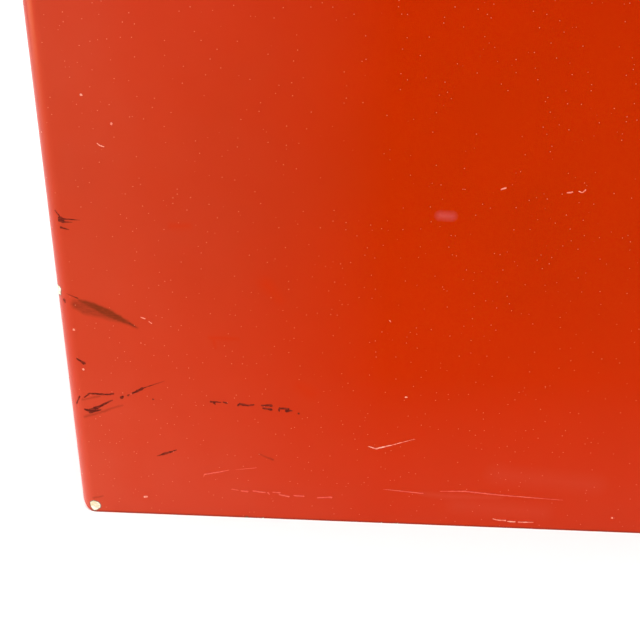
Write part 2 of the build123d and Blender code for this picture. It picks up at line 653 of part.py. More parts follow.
def latch_spring():
    """Compression spring between the cap and the latch's nose arm."""
    wire, low = 1.0, LATCH_Z + 6
    return Pos(0, LATCH_Y - 36, low + wire + 0.1) * spiral(5.5, wire, HEIGHT - low - 2 * wire - 0.2, 4.5)


def make_latch():
    node("latch_lever", latch_lever())
    node("latch_bracket", latch_bracket())
    node("pivot_pins", pivot_pins())
    node("latch_spring", latch_spring())
    node("trip_rod", trip_rod())
    node("coin_lever", coin_lever())


# ---------------------------------------------------------------- coin head
FACE_OPENING = (76.0, 1014.0, 1180.0)
FACE_PLATE = (84.0, 1008.0, 1186.0)
FACE_SCREWS = [(s * 80, z) for s in (-1, 1) for z in (1012, 1097, 1182)]
FACE_SCREW_R = 2.0


def head_housing():
    t = SHEET
    shell = rounded(-HEAD_HALF_W, HEAD_HALF_W, HEAD_FRONT, HEAD_BACK, HEAD_LOW, HEAD_TOP, Axis.Z, HEAD_R)
    shell = fillet(shell.faces().sort_by(Axis.Z)[-1].edges(), HEAD_R - 1)
    w = HEAD_HALF_W - t
    cavity = rounded(-w, w, HEAD_FRONT + t, HEAD_BACK - t, HEAD_LOW + t, HEAD_TOP - t, Axis.Z, HEAD_R - t)
    cavity = fillet(cavity.faces().sort_by(Axis.Z)[-1].edges(), HEAD_R - 1 - t)
    shell -= cavity
    shell -= block(-w + 16, w - 16, HEAD_FRONT + 18, HEAD_BACK - 18, HEAD_LOW - 1, HEAD_LOW + t + 1)
    f, low, top = FACE_OPENING
    shell -= rounded(-f, f, HEAD_FRONT - 1, HEAD_FRONT + t + 1, low, top, Axis.Y, 4)
    for x, y in HEAD_BOLTS:
        shell -= along_z(HEAD_BOLT_R, HEAD_LOW - 1, HEAD_LOW + t + 1, x, y)
    for x, z in FACE_SCREWS:
        shell -= along_y(FACE_SCREW_R, HEAD_FRONT - 1, HEAD_FRONT + t + 1, x, z)
    return shell


def coin_slot(y0, y1):
    """The upright slot that a coin goes through."""
    return block(COIN_X - 1.8, COIN_X + 1.8, y0, y1, COIN_SLOT_Z - 13.5, COIN_SLOT_Z + 13.5)


def face_plate():
    """Stainless plate that carries the coin entry, button, return cup and cash drawer."""
    w, low, top = FACE_PLATE
    y0, y1 = PLATE_FRONT, HEAD_FRONT
    plate = rounded(-w, w, y0, y1, low, top, Axis.Y, 5)
    a, b = y0 - 1, y1 + 1
    plate -= coin_slot(a, b)
    plate -= along_y(9.1, a, b, BUTTON_X, BUTTON_Z)
    plate -= rounded(CUP[0] + 3, CUP[1] - 3, a, b, CUP[2] + 4, CUP[3] - 6, Axis.Y, 6)
    x0, x1, z0, z1 = DRAWER
    plate -= block(x0 - 1.5, x1 + 1.5, a, b, z0 - 2, z1 + 3)
    plate -= along_y(10, a, b, LOCK_X, LOCK_Z) + block(LOCK_X - 5.5, LOCK_X + 5.5, a, b, z1, LOCK_Z)
    for x, z in FACE_SCREWS:
        plate -= along_y(FACE_SCREW_R, a, b, x, z)
    return plate


def face_screws():
    size = (PLATE_T + 5, FACE_SCREW_R, 3.6, 1.8, 0, 0, 1.3)
    return Part() + [fastener((x, PLATE_FRONT, z), (0, -1, 0), *size) for x, z in FACE_SCREWS]


def head_bolts():
    """Bolts through the head's floor, its bottom flange and the cap."""
    z = HEAD_LOW + SHEET + 2
    size = (z - HEIGHT, HEAD_BOLT_R, 5.5, 3.5, 5.5, 4)
    return Part() + [fastener((x, y, z), (0, 0, 1), *size) for x, y in HEAD_BOLTS]


def coin_bezel():
    bezel = rounded(COIN_X - 14, COIN_X + 14, PLATE_FRONT - 4.5, PLATE_FRONT, 1120, 1178, Axis.Y, 8)
    bezel = fillet(bezel.faces().sort_by(Axis.Y)[0].edges(), 2)
    slot = coin_slot(PLATE_FRONT - 6, PLATE_FRONT + 1)
    lead_in = rounded(COIN_X - 4, COIN_X + 4, PLATE_FRONT - 6, PLATE_FRONT - 3.2, 1133, 1166, Axis.Y, 3.9)
    return bezel - slot - lead_in


def coin_chute():
    """Narrow guide that drops the coin on the lever, with a side window for returned coins."""
    chute = block(COIN_X - 5, COIN_X + 5, HEAD_FRONT, -150, 1118, 1176)
    chute -= block(COIN_X - 1.8, COIN_X + 1.8, HEAD_FRONT - 1, -152, 1122, 1172)
    chute -= block(COIN_X - 1.8, COIN_X + 1.8, -182, -152, 1110, 1130)
    return chute - block(COIN_X, COIN_X + 6, -178, -154, 1124, 1156)


def return_chute():
    """Sloping trough from the coin guide to the return cup."""
    long, wide, deep, t = 78.0, 30.0, 12.0, 1.5
    trough = block(0, long, -wide / 2, wide / 2, 0, deep)
    trough -= block(-1, long + 1, -wide / 2 + t, wide / 2 - t, t, deep + 1)
    return Pos(COIN_X + 6.5, -166, 1118) * Rot(0, 25, 0) * trough


def return_cup():
    x0, x1, z0, z1 = CUP
    t = 1.5
    cup = block(x0, x1, HEAD_FRONT, -150, z0, z1)
    hollow = block(x0 + t, x1 - t, HEAD_FRONT - 1, -150 - t, z0 + t, z1 - t)
    scoop = hollow.edges().filter_by(Axis.X).sort_by(Axis.Y)[-2:].sort_by(Axis.Z)[0]
    cup -= fillet(scoop, 16)
    cup -= block(x0 + 8, x1 - 8, -182, -154, z1 - 5, z1 + 1)
    return cup - along_x(1.55, x0 - 1, x1 + 1, FLAP_Y, FLAP_Z)


def return_flap():
    x0, x1 = CUP[0] + 4, CUP[1] - 4
    flap = rounded(x0, x1, FLAP_Y - 0.75, FLAP_Y + 0.75, CUP[2] + 5, FLAP_Z, Axis.Y, 4)
    return flap + along_x(1.5, CUP[0] + 0.2, CUP[1] - 0.2, FLAP_Y, FLAP_Z)


def return_button():
    button = along_y(9, -216, -203.5, BUTTON_X, BUTTON_Z)
    button = chamfer(button.faces().sort_by(Axis.Y)[0].edges(), 1.5)
    button += along_y(11, -205.5, -203.5, BUTTON_X, BUTTON_Z)
    return button + along_y(3, -204, -166, BUTTON_X, BUTTON_Z)


def button_guide():
    """Bent bracket that guides the button's stem and backs its spring."""
    x, z = BUTTON_X, BUTTON_Z
    guide = block(x - 15, x + 15, HEAD_FRONT, -175, z - 12, z + 12)
    guide -= block(x - 13.5, x + 13.5, HEAD_FRONT - 1, -177, z - 13, z + 13)
    return guide - along_y(3.06, -180, -170, x, z)


def mech_base():
    """Floor of the coin head, with the drawer's rails and the coin lever's ears."""
    low = HEAD_LOW + SHEET
    floor = rounded(-90, 90, -202, -20, low, low + 2, Axis.Z, 8)
    x0, x1, z0, z1 = DRAWER
    for outer, inner in ((x0 - 3, x0 + 7), (x1 + 3, x1 - 7)):
        wall = sorted((outer, outer + math.copysign(1.5, inner - outer)))
        ledge = sorted((outer, inner))
        floor += block(*wall, -200, -36, low + 2, z0 + 24)
        floor += block(*ledge, -200, -36, z0 - 2.5, z0 - 0.5)
    for x in (-76, 10):
        ear = rounded(x, x + 2, LEVER_Y - 9, LEVER_Y + 9, low - 20, LEVER_Z + 9, Axis.X, 8.5)
        floor += ear & block(x, x + 2, LEVER_Y - 9, LEVER_Y + 9, low, LEVER_Z + 9)
    floor -= along_x(PIVOT_R, -80, 14, LEVER_Y, LEVER_Z)
    floor -= along_z(4.3, low - 1, low + 3, 0, TRIP_Y)
    for x, y in HEAD_BOLTS:
        floor -= along_z(HEAD_BOLT_R, low - 1, low + 3, x, y)
    return floor


PRICE = (20.0, 76.0, 1126.0, 1168.0)


def price_frame():
    """Raised frame with a clear lens that holds the price card."""
    x0, x1, z0, z1 = PRICE
    frame = rounded(x0, x1, PLATE_FRONT - 3, PLATE_FRONT, z0, z1, Axis.Y, 4)
    frame = fillet(frame.faces().sort_by(Axis.Y)[0].edges(), 1)
    frame -= rounded(x0 + 4, x1 - 4, PLATE_FRONT - 4, PLATE_FRONT - 1, z0 + 4, z1 - 4, Axis.Y, 2)
    return frame - block(x0 + 2.5, x1 - 2.5, PLATE_FRONT - 1, PLATE_FRONT + 1, z0 + 2.5, z1 - 2.5)


def drawer_front():
    front = rounded(-76, -4, PLATE_FRONT - PLAY - 3.7, PLATE_FRONT - PLAY, 1010, 1112, Axis.Y, 5)
    front = fillet(front.faces().sort_by(Axis.Y)[0].edges(), 1.5)
    return front - along_y(9.35, -220, -200, LOCK_X, LOCK_Z)


def cash_box():
    x0, x1, z0, z1 = DRAWER
    y0, y1, t = PLATE_FRONT - PLAY, -40, 1.5
    return block(x0, x1, y0, y1, z0, z1) - block(x0 + t, x1 - t, y0 + t, y1 - t, z0 + t, z1 + 1)


def lock_barrel():
    face = PLATE_FRONT - PLAY - 3.7
    barrel = along_y(9.35, face, -205.5, LOCK_X, LOCK_Z) + along_y(12, face - 3, face, LOCK_X, LOCK_Z)
    barrel = chamfer(barrel.faces().sort_by(Axis.Y)[0].edges(), 0.8)
    return barrel - along_y(6.56, face - 4, -205, LOCK_X, LOCK_Z)


def lock_plug():
    """Turning plug with its keyway, and the cam behind that hooks the face plate."""
    face = PLATE_FRONT - PLAY - 3.7
    plug = along_y(6.5, face - 4, -204.5, LOCK_X, LOCK_Z)
    plug -= block(LOCK_X - 0.9, LOCK_X + 0.9, face - 5, face + 1, LOCK_Z - 4, LOCK_Z + 4)
    cam = block(LOCK_X - 4.5, LOCK_X + 4.5, -205, -202.5, LOCK_Z - 15, LOCK_Z)
    return plug + cam + along_y(4.5, -205, -202.5, LOCK_X, LOCK_Z)


def make_head():
    node("head_housing", head_housing())
    node("face_plate", face_plate())
    node("face_screws", face_screws())
    node("head_bolts", head_bolts())
    node("coin_bezel", coin_bezel())
    node("coin_chute", coin_chute())
    node("return_chute", return_chute())
    node("return_cup", return_cup())
    node("return_flap", return_flap())
    node("return_button", return_button())
    spring = Plane(origin=(BUTTON_X, -202.4, BUTTON_Z), z_dir=(0, 1, 0)) * spiral(6.2, 0.9, 24.3, 4.5)
    node("button_spring", spring)
    node("button_guide", button_guide())
    node("mech_base", mech_base())
    x0, x1, z0, z1 = PRICE
    node("price_frame", price_frame())
    node("price_card", block(x0 + 3, x1 - 3, PLATE_FRONT - 0.9, PLATE_FRONT - 0.1, z0 + 3, z1 - 3))
    node("drawer_front", drawer_front())
    node("cash_box", cash_box())
    node("lock_barrel", lock_barrel())
    node("lock_plug", lock_plug())


make_body()
make_hinge()
make_door()
make_latch()
make_head()
os.makedirs("parts", exist_ok=True)
for name, shape in parts.items():
    export_step(shape, f"parts/{name}.step")
print(len(parts), "pieces")
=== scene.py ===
"""Looks of the newspaper vending box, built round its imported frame.

Metres throughout, in the frame's own axes, apart from the marks, which are listed in millimetres.
"""

import json
import math
import random

import bmesh
import bpy
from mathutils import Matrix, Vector


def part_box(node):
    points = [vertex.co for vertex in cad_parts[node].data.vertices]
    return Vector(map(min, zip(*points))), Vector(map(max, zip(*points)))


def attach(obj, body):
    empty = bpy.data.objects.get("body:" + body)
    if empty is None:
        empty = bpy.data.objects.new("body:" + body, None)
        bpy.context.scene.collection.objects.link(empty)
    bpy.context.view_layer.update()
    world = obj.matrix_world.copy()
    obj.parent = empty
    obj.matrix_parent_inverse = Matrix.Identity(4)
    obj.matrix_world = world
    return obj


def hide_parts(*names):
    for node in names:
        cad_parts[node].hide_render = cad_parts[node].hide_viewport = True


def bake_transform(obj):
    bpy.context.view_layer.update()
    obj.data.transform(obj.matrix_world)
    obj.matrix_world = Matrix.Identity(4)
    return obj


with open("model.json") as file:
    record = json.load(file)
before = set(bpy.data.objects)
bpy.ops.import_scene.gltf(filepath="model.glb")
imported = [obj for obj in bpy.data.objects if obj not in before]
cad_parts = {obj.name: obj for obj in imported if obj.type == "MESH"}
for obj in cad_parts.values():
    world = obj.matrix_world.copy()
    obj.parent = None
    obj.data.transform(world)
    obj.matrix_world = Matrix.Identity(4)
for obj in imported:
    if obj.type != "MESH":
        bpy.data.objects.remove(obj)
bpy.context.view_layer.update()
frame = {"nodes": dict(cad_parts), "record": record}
MM = 0.001
SLOT_OF = {part["node"]: part["material_slot"] for part in frame["record"]["subparts"]}
SHELL_LOW, SHELL_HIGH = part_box("cabinet_shell")


# ---------------------------------------------------------------- materials toolkit
class Finish:
    """A node material being built, with short calls for the nodes that this script uses."""

    def __init__(self, name):
        self.material = bpy.data.materials.new(name)
        self.material.use_nodes = True
        self.tree = self.material.node_tree
        self.tree.nodes.clear()
        self.shader = self.tree.nodes.new("ShaderNodeBsdfPrincipled")
        out = self.tree.nodes.new("ShaderNodeOutputMaterial")
        self.tree.links.new(self.shader.outputs["BSDF"], out.inputs["Surface"])
        self.place = self.tree.nodes.new("ShaderNodeTexCoord").outputs["Object"]

    def plug(self, socket, value):
        """Links a socket to another one, or gives it a number, a vector or a colour."""
        if isinstance(value, bpy.types.NodeSocket):
            self.tree.links.new(value, socket)
        elif value is not None:
            socket.default_value = (*value, 1.0) if socket.type == "RGBA" and len(value) == 3 else value

    def set(self, **values):
        """Sets the shader's sockets: base_color=... sets Base Color."""
        for key, value in values.items():
            name = {"ior": "IOR", "specular": "Specular IOR Level"}.get(key, key.replace("_", " ").title())
            self.plug(self.shader.inputs[name], value)

    def math(self, operation, a, b=None, clamp=False):
        node = self.tree.nodes.new("ShaderNodeMath")
        node.operation = operation
        node.use_clamp = clamp
        for socket, value in zip(node.inputs, (a, b)):
            self.plug(socket, value)
        return node.outputs[0]

    def vector(self, operation, a, b=None, scale=None):
        node = self.tree.nodes.new("ShaderNodeVectorMath")
        node.operation = operation
        self.plug(node.inputs[0], a)
        self.plug(node.inputs[1], b)
        self.plug(node.inputs[3], scale)
        return node.outputs["Value" if operation in ("LENGTH", "DOT_PRODUCT", "DISTANCE") else "Vector"]

    def stretch(self, factors):
        return self.vector("MULTIPLY", self.place, factors)

    def noise(self, scale, detail=3.0, rough=0.55, at=None, colour=False):
        node = self.tree.nodes.new("ShaderNodeTexNoise")
        self.plug(node.inputs["Vector"], at or self.place)
        for name, value in (("Scale", scale), ("Detail", detail), ("Roughness", rough)):
            node.inputs[name].default_value = value
        return node.outputs["Color" if colour else "Fac"]

    def cells(self, scale):
        """A Voronoi texture's node: Distance, Color and Position."""
        node = self.tree.nodes.new("ShaderNodeTexVoronoi")
        self.plug(node.inputs["Vector"], self.place)
        node.inputs["Scale"].default_value = scale
        return node

    def fit(self, value, low, high, to_low=0.0, to_high=1.0, smooth=True):
        """Maps low..high to to_low..to_high, clamped."""
        node = self.tree.nodes.new("ShaderNodeMapRange")
        node.interpolation_type = "SMOOTHSTEP" if smooth else "LINEAR"
        for name, number in (("From Min", low), ("From Max", high), ("To Min", to_low), ("To Max", to_high)):
            self.plug(node.inputs[name], number)
        self.plug(node.inputs["Value"], value)
        return node.outputs["Result"]

    def mix(self, share, a, b):
        """Mixes two colours: all a where share is 0, and all b where it is 1."""
        node = self.tree.nodes.new("ShaderNodeMix")
        node.data_type = "RGBA"
        self.plug(node.inputs[0], share)
        for socket, value in ((node.inputs[6], a), (node.inputs[7], b)):
            self.plug(socket, value)
        return node.outputs[2]

    def split(self, value=None):
        node = self.tree.nodes.new("ShaderNodeSeparateXYZ")
        self.plug(node.inputs[0], value or self.place)
        return node.outputs

    def join(self, x, y, z):
        node = self.tree.nodes.new("ShaderNodeCombineXYZ")
        for socket, value in zip(node.inputs, (x, y, z)):
            self.plug(socket, value)
        return node.outputs[0]

    def relief(self, height, depth):
        """Sends a height map of 0..1 to the normal, depth metres deep."""
        bump = self.tree.nodes.new("ShaderNodeBump")
        bump.inputs["Strength"].default_value = 1.0
        bump.inputs["Distance"].default_value = depth
        self.plug(bump.inputs["Height"], height)
        self.plug(self.shader.inputs["Normal"], bump.outputs[0])

    def group(self, tree, **inputs):
        node = self.tree.nodes.new("ShaderNodeGroup")
        node.node_tree = tree
        for name, value in inputs.items():
            self.plug(node.inputs[name.replace("_", " ").title()], value)
        return node.outputs[0]


def stroke_group():
    """Node group: how much a point lies on a tapered stroke between two points, or on the strokes so far."""
    tree = bpy.data.node_groups.new("stroke", "ShaderNodeTree")
    for name in ("Point", "Start", "End"):
        tree.interface.new_socket(name, in_out="INPUT", socket_type="NodeSocketVector")
    for name in ("Start Width", "End Width", "Soft", "So Far"):
        tree.interface.new_socket(name, in_out="INPUT", socket_type="NodeSocketFloat")
    tree.interface.new_socket("Mask", in_out="OUTPUT", socket_type="NodeSocketFloat")
    source = tree.nodes.new("NodeGroupInput").outputs
    out = tree.nodes.new("NodeGroupOutput")

    def vector(operation, a, b):
        node = tree.nodes.new("ShaderNodeVectorMath")
        node.operation = operation
        tree.links.new(a, node.inputs[0])
        tree.links.new(b, node.inputs[3 if operation == "SCALE" else 1])
        return node.outputs["Value" if operation in ("DOT_PRODUCT", "DISTANCE") else "Vector"]

    def math_node(operation, a, b, clamp=False):
        node = tree.nodes.new("ShaderNodeMath")
        node.operation = operation
        node.use_clamp = clamp
        tree.links.new(a, node.inputs[0])
        if isinstance(b, bpy.types.NodeSocket):
            tree.links.new(b, node.inputs[1])
        else:
            node.inputs[1].default_value = b
        return node.outputs[0]

    along = vector("SUBTRACT", source["End"], source["Start"])
    reach = vector("SUBTRACT", source["Point"], source["Start"])
    length_squared = vector("DOT_PRODUCT", along, along)
    share = math_node("DIVIDE", vector("DOT_PRODUCT", reach, along), length_squared, True)
    away = vector("DISTANCE", reach, vector("SCALE", along, share))
    widening = math_node("SUBTRACT", source["End Width"], source["Start Width"])
    width = math_node("ADD", math_node("MULTIPLY", widening, share), source["Start Width"])
    inside = math_node("DIVIDE", math_node("SUBTRACT", width, away), source["Soft"])
    mask = math_node("ADD", inside, 0.5, True)
    tree.links.new(math_node("MAXIMUM", mask, source["So Far"]), out.inputs["Mask"])
    return tree


STROKE = stroke_group()


# ---------------------------------------------------------------- red enamel and its wear, with painted light and shade
# Marks on the lower rear of the left side, in millimetres. Each is a line of points, forward of the rear
# edge and up from the ground, and a half width at each point. These are laid on the enamel as thin pieces.
DARK_MARKS = [
    # wedge-shaped scuff: the start of its upper edge, its front tip, and a nick behind it
    ([(7, 128.6), (12.5, 126.4)], [0.1, 0.35]),
    ([(37, 114), (41, 111.2)], [0.3, 0.05]),
    ([(5, 125), (5.6, 123.6)], [0.7, 0.4]),
    # rubbed spot with two tails, and nicks above and below it
    ([(8.4, 167), (9.4, 166)], [1.6, 1.1]),
    ([(9.5, 167), (18, 166.5)], [0.45, 0.1]),
    ([(9, 165.4), (14, 165.4)], [0.45, 0.1]),
    ([(6, 171), (8, 168.5)], [0.25, 0.4]),
    ([(8, 162.7), (12, 161.7)], [0.6, 0.15]),
    ([(8.4, 93.2), (12, 90.6)], [0.4, 0.9]),
    # hook, flat loop and double gouge
    ([(5.2, 66.8), (6, 68.6), (7.6, 71.4)], [0.55, 0.3, 0.45]),
    ([(10, 71), (13, 73.4), (21.5, 73), (25.6, 73.6)], [0.35, 0.5, 0.5, 0.45]),
    ([(9.4, 64), (12.5, 63), (16, 65.2), (24.6, 69.8)], [0.4, 1.3, 0.8, 0.4]),
    ([(12, 62.2), (18, 64)], [0.8, 0.4]),
    # dashes where the same blow skipped forwards
    ([(29.5, 71.4), (30.4, 72)], [0.9, 0.7]),
    ([(33, 72.8), (33.8, 73.4)], [0.5, 0.3]),
    ([(35.6, 74.2), (41.2, 77.3)], [0.55, 0.7]),
    ([(41.2, 77.3), (53, 82)], [0.3, 0.05]),
    ([(46, 71.2), (46.4, 71)], [0.5, 0.4]),
    # curved scrape on its own below them
    ([(45.6, 37), (50.6, 38.9), (56.4, 41.3)], [0.1, 0.75, 0.25]),
    # row of small scrapes
    ([(76, 70.8), (81.3, 70.6)], [0.5, 0.25]),
    ([(78, 70.2), (78.4, 69.2)], [0.7, 0.3]),
    ([(82.6, 70.8), (84.5, 70.2)], [0.35, 0.5]),
    ([(90, 68.9), (91, 70), (95.3, 69.2), (98.4, 69.8)], [0.4, 0.6, 0.6, 0.4]),
    ([(102.4, 69.6), (107.6, 69.6)], [0.5, 0.7]),
    ([(103, 68), (107.3, 67.2)], [0.4, 0.8]),
    ([(111.4, 66.4), (111.4, 68.2), (116.3, 68)], [0.35, 0.6, 0.55]),
    ([(115, 66.8), (118, 67)], [0.8, 0.35]),
    ([(121.3, 65.6), (121.6, 65.4)], [0.6, 0.5]),
]
TRACES = [
    # scratch with a hooked start, and its faint end
    ([(70, 24.8), (70.5, 26.7), (79.5, 28.7), (84, 30)], [0.05, 0.3, 0.35, 0.1]),
    ([(87.6, 30.3), (98.6, 32)], [0.05, 0.2]),
    # broken scratch row
    ([(85, 18), (88.5, 17.4)], [0.3, 0.2]),
    ([(90, 17.1), (93.5, 16.9)], [0.3, 0.5]),
    ([(96.5, 17.4), (103, 16.6)], [0.45, 0.3]),
    ([(104.4, 16.6), (105.2, 15.6)], [0.4, 0.25]),
    ([(107, 17.1), (111, 16.8)], [0.2, 0.4]),
    ([(110.5, 15.7), (115.7, 14.6)], [0.35, 0.45]),
    ([(118.5, 15.4), (123.7, 15.2)], [0.4, 0.4]),
    ([(131, 14.6), (138.6, 15.2)], [0.3, 0.5]),
    # long scratch that runs forwards
    ([(166, 21.5), (174, 20.9), (187, 19.8)], [0.05, 0.25, 0.3]),
    ([(195.8, 21.6), (209, 22.1), (227, 20.6), (260, 18.9)], [0.15, 0.35, 0.35, 0.1]),
]
PALE_MARKS = [
    # bright gouge near the lower edge
    ([(224.6, 5.5), (226.4, 4.9), (231.4, 4.7)], [0.15, 0.35, 0.35]),
    ([(232.6, 4.3), (236.4, 4)], [0.3, 0.4]),
    ([(238.2, 4), (246, 4.3)], [0.4, 0.15]),
    # tick-shaped scratch
    ([(157.4, 47.5), (161.4, 46.2), (169.3, 48.6), (181.4, 52.8)], [0.1, 0.45, 0.2, 0.05]),
    # nicks and flecks over the rest of the panel
    ([(215, 184.9), (217, 185.8)], [0.4, 0.4]),
    ([(244.6, 183.9), (247, 184.3)], [0.3, 0.3]),
    ([(249.8, 184.7), (251.5, 184.1), (252.7, 185.4)], [0.2, 0.25, 0.3]),
    ([(29.8, 203.4), (31, 202.4), (32.9, 201.8)], [0.15, 0.3, 0.2]),
    ([(43.4, 117), (45.4, 116.3)], [0.2, 0.3]),
    ([(47.2, 114.8), (48.6, 113.8)], [0.25, 0.2]),
    ([(166.4, 118.8), (166.9, 118)], [0.25, 0.2]),
    ([(24.5, 225.3), (24.9, 225.1)], [0.5, 0.4]),
    ([(37.2, 212.6), (37.3, 212.2)], [0.5, 0.5]),
    ([(37, 10.8), (38.2, 11.3)], [0.6, 0.6]),
    ([(8.5, 109.3), (8.8, 109)], [0.55, 0.5]),
    ([(11, 87.3), (11.3, 87)], [0.55, 0.5]),
    ([(175.6, 76.9), (176.4, 76.9)], [0.4, 0.3]),
    ([(286.3, 9.1), (286.8, 9)], [0.4, 0.4]),
]
# These marks are in the enamel's own material, and each also has the softness of its outline.
BROWN_MARKS = [
    # body of the wedge-shaped scuff, then faint veils beside the gouges
    ([(11, 123), (16, 121.4), (22, 119.8), (28, 117.6), (34, 115.2), (41, 111.2)],
     [2.2, 3.6, 3.2, 2.6, 1.3, 0.1], 2.2),
    ([(8.6, 69.5), (18, 72)], [0.3, 0.3], 1.0),
    ([(9, 59.3), (18, 62.6), (29.6, 67)], [0.5, 0.45, 0.2], 1.4),
    ([(100.5, 40.4), (107.5, 37.2)], [0.15, 0.5], 0.8),
    ([(8.5, 9), (14, 10.4)], [0.4, 0.2], 1.2),
]
SCUFF_CORE = [
    ([(13, 125.3), (20, 122.4), (27, 119), (34, 115.2), (40.5, 111.5)], [0.5, 1.5, 1.9, 1.2, 0.1], 1.1),
]
SMEARS = [
    ([(186, 19.6), (202, 18.4), (228, 18.8)], [0.4, 1.2, 0.3], 3.6),
    ([(205, 13), (250, 11)], [0.5, 0.5], 14.0),
    ([(225, 33), (275, 29)], [0.5, 0.5], 16.0),
]
FINGER_SMUDGE = [([(188, 172.2), (193.5, 171.8)], [1.0, 0.9], 4.2)]
CLEAN_RUBS = [
    ([(61.5, 164.5), (70, 164.6)], [1.0, 1.0], 3.0),
    ([(77.5, 106.7), (91.5, 106.7)], [0.9, 0.6], 1.8),
    ([(79.3, 105.5), (80, 101.3)], [0.7, 0.3], 1.6),
    ([(106, 136), (113, 128)], [2.5, 1.0], 6.0),
    ([(122, 81), (128, 77)], [2.0, 2.5], 6.0),
]
# Chips down to the primer: the middle, and the half sizes forwards and up.
CHIPS = [
    ((8.9, 4.2), 2.9, 3.1),
    ((1.9, 129.2), 1.9, 2.5),
]
RED = (0.52, 0.0130, 0.0006)
# painted shade: the darker red that each part takes towards its top, through random blotches
SHADED_RED = (0.405, 0.0070, 0.0004)
FRESH_RED = (0.50, 0.0110, 0.0005)  # where a rub has taken off the pale chalk layer and its painted reflection veil
CHALK_AND_REFLECTION_VEIL = (0.98, 0.50, 0.36)  # weathered enamel's pale chalk layer; on the shell it also paints in the floor's reflection as a pale veil, stronger low down and near the rear edge
DARK_RUB = (0.24, 0.022, 0.009)
DARKEST_RUB = (0.10, 0.009, 0.004)
# a brown rub colour, also used for the painted contact shadow along the shell's foot
BROWN_RUB_AND_CONTACT_SHADE = (0.21, 0.015, 0.010)
CORE_RUB = (0.12, 0.010, 0.006)
TRACE_RUB = (0.72, 0.10, 0.055)
TRACE_RUB_DEEP = (0.62, 0.045, 0.02)
PALE_RUB = (0.95, 0.46, 0.34)
PALE_RUB_DEEP = (0.72, 0.13, 0.07)
FINGER_PINK = (0.92, 0.38, 0.46)
PRIMER = (1.0, 0.97, 0.82)
OLD_PRIMER = (0.72, 0.58, 0.34)
CHIP_RIM_SHADE = (0.09, 0.06, 0.045)  # painted shade: dark ring round a chip, for the shadow of the enamel's step
# paler streaks in the same painted shade
CHIP_RIM_SHADE_PALE = (0.16, 0.09, 0.06)
RUB_GRAIN = (1.0, 0.35, 1.6)  # stretches the streaks in rubbed paint

EDGE_ROUND = 9.5 * MM  # outside radius of the body's upright edges
SIDE_DEPTH = 9 * MM  # how far in from the left skin the side's marks reach
SHADE_FULL_FROM = 180 * MM  # height at which the painted shade, darker towards the top, is at its fullest
VEIL_REACH_BEHIND = (165 * MM, 0.053)  # the reach of the pale chalk layer and painted reflection veil forwards from the rear edge, and its share there
VEIL_REACH_UNDER = (90 * MM, 0.026)  # the same, up from the lower edge
FILM_PART = (100 * MM, 0.05)  # the same, in from any edge of a part other than the shell
CHIP_BITE = 11 * MM  # how far in from an edge the chips' noise can bite
CHIP_FROM = 6.8 * MM  # how much of that bite the sound enamel bears
RIM_SHADE_FROM = 6.3 * MM  # the same for the ring of painted shade round a chip


def strokes(coat, point, marks):
    """How much a point lies on any of a list of marks."""
    mask = 0.0
    for points, widths, soft in marks:
        ends = list(zip(points, widths))
        for (start, wide), (end, wide_end) in zip(ends, ends[1:]):
            mask = coat.group(
                STROKE, point=point, start=(*start, 0), end=(*end, 0),
                start_width=wide, end_width=wide_end, soft=soft, so_far=mask,
            )
    return mask


def edge_distance(coat, low, high):
    """Distance in metres from the nearest edge of a box-shaped part, measured along its faces."""
    far = []
    for axis, place in enumerate(coat.split()):
        near = coat.math("ABSOLUTE", coat.math("SUBTRACT", place, (low[axis] + high[axis]) / 2))
        far.append(coat.math("SUBTRACT", (high[axis] - low[axis]) / 2, near))
    # On a face the smallest of the three is zero, so the middle one is the way to the nearest edge.
    across, along, upward = far
    smaller = coat.math("MINIMUM", across, along)
    larger = coat.math("MAXIMUM", across, along)
    return coat.math("MAXIMUM", smaller, coat.math("MINIMUM", larger, upward))


def fibres(coat, scale, share, reach, width):
    """Short curved lint fibres, one in each of a share of a Voronoi pattern's cells."""
    cell = coat.cells(scale)
    chance, turn, bend = coat.split(cell.outputs["Color"])
    local = coat.vector("SUBTRACT", coat.vector("SCALE", coat.place, scale=scale), cell.outputs["Position"])
    rotate = coat.tree.nodes.new("ShaderNodeVectorRotate")
    rotate.rotation_type = "X_AXIS"
    coat.plug(rotate.inputs["Vector"], local)
    coat.plug(rotate.inputs["Angle"], coat.math("MULTIPLY", turn, math.tau))
    x, y, z = coat.split(rotate.outputs[0])
    curve = coat.math("MULTIPLY", coat.math("MULTIPLY", y, y), coat.math("SUBTRACT", bend, 0.5))
    off = coat.math("ABSOLUTE", coat.math("SUBTRACT", z, coat.math("MULTIPLY", curve, 6.0)))
    line = coat.fit(off, width * 1.6, width * 0.6)
    ends = coat.fit(coat.math("ABSOLUTE", y), reach, reach * 0.8)
    return coat.math("MULTIPLY", coat.math("MULTIPLY", line, ends), coat.math("LESS_THAN", chance, share))


def specks(coat, scale, share, largest):
    """Round dust specks of varied size, in some cells of a Voronoi pattern."""
    cell = coat.cells(scale)
    chance = coat.split(cell.outputs["Color"])[0]
    size = coat.fit(chance, 0.0, share, largest, largest * 0.3, smooth=False)
    spot = coat.fit(cell.outputs["Distance"], size, coat.math("MULTIPLY", size, 0.4))
    return coat.math("MULTIPLY", spot, coat.math("LESS_THAN", chance, share))


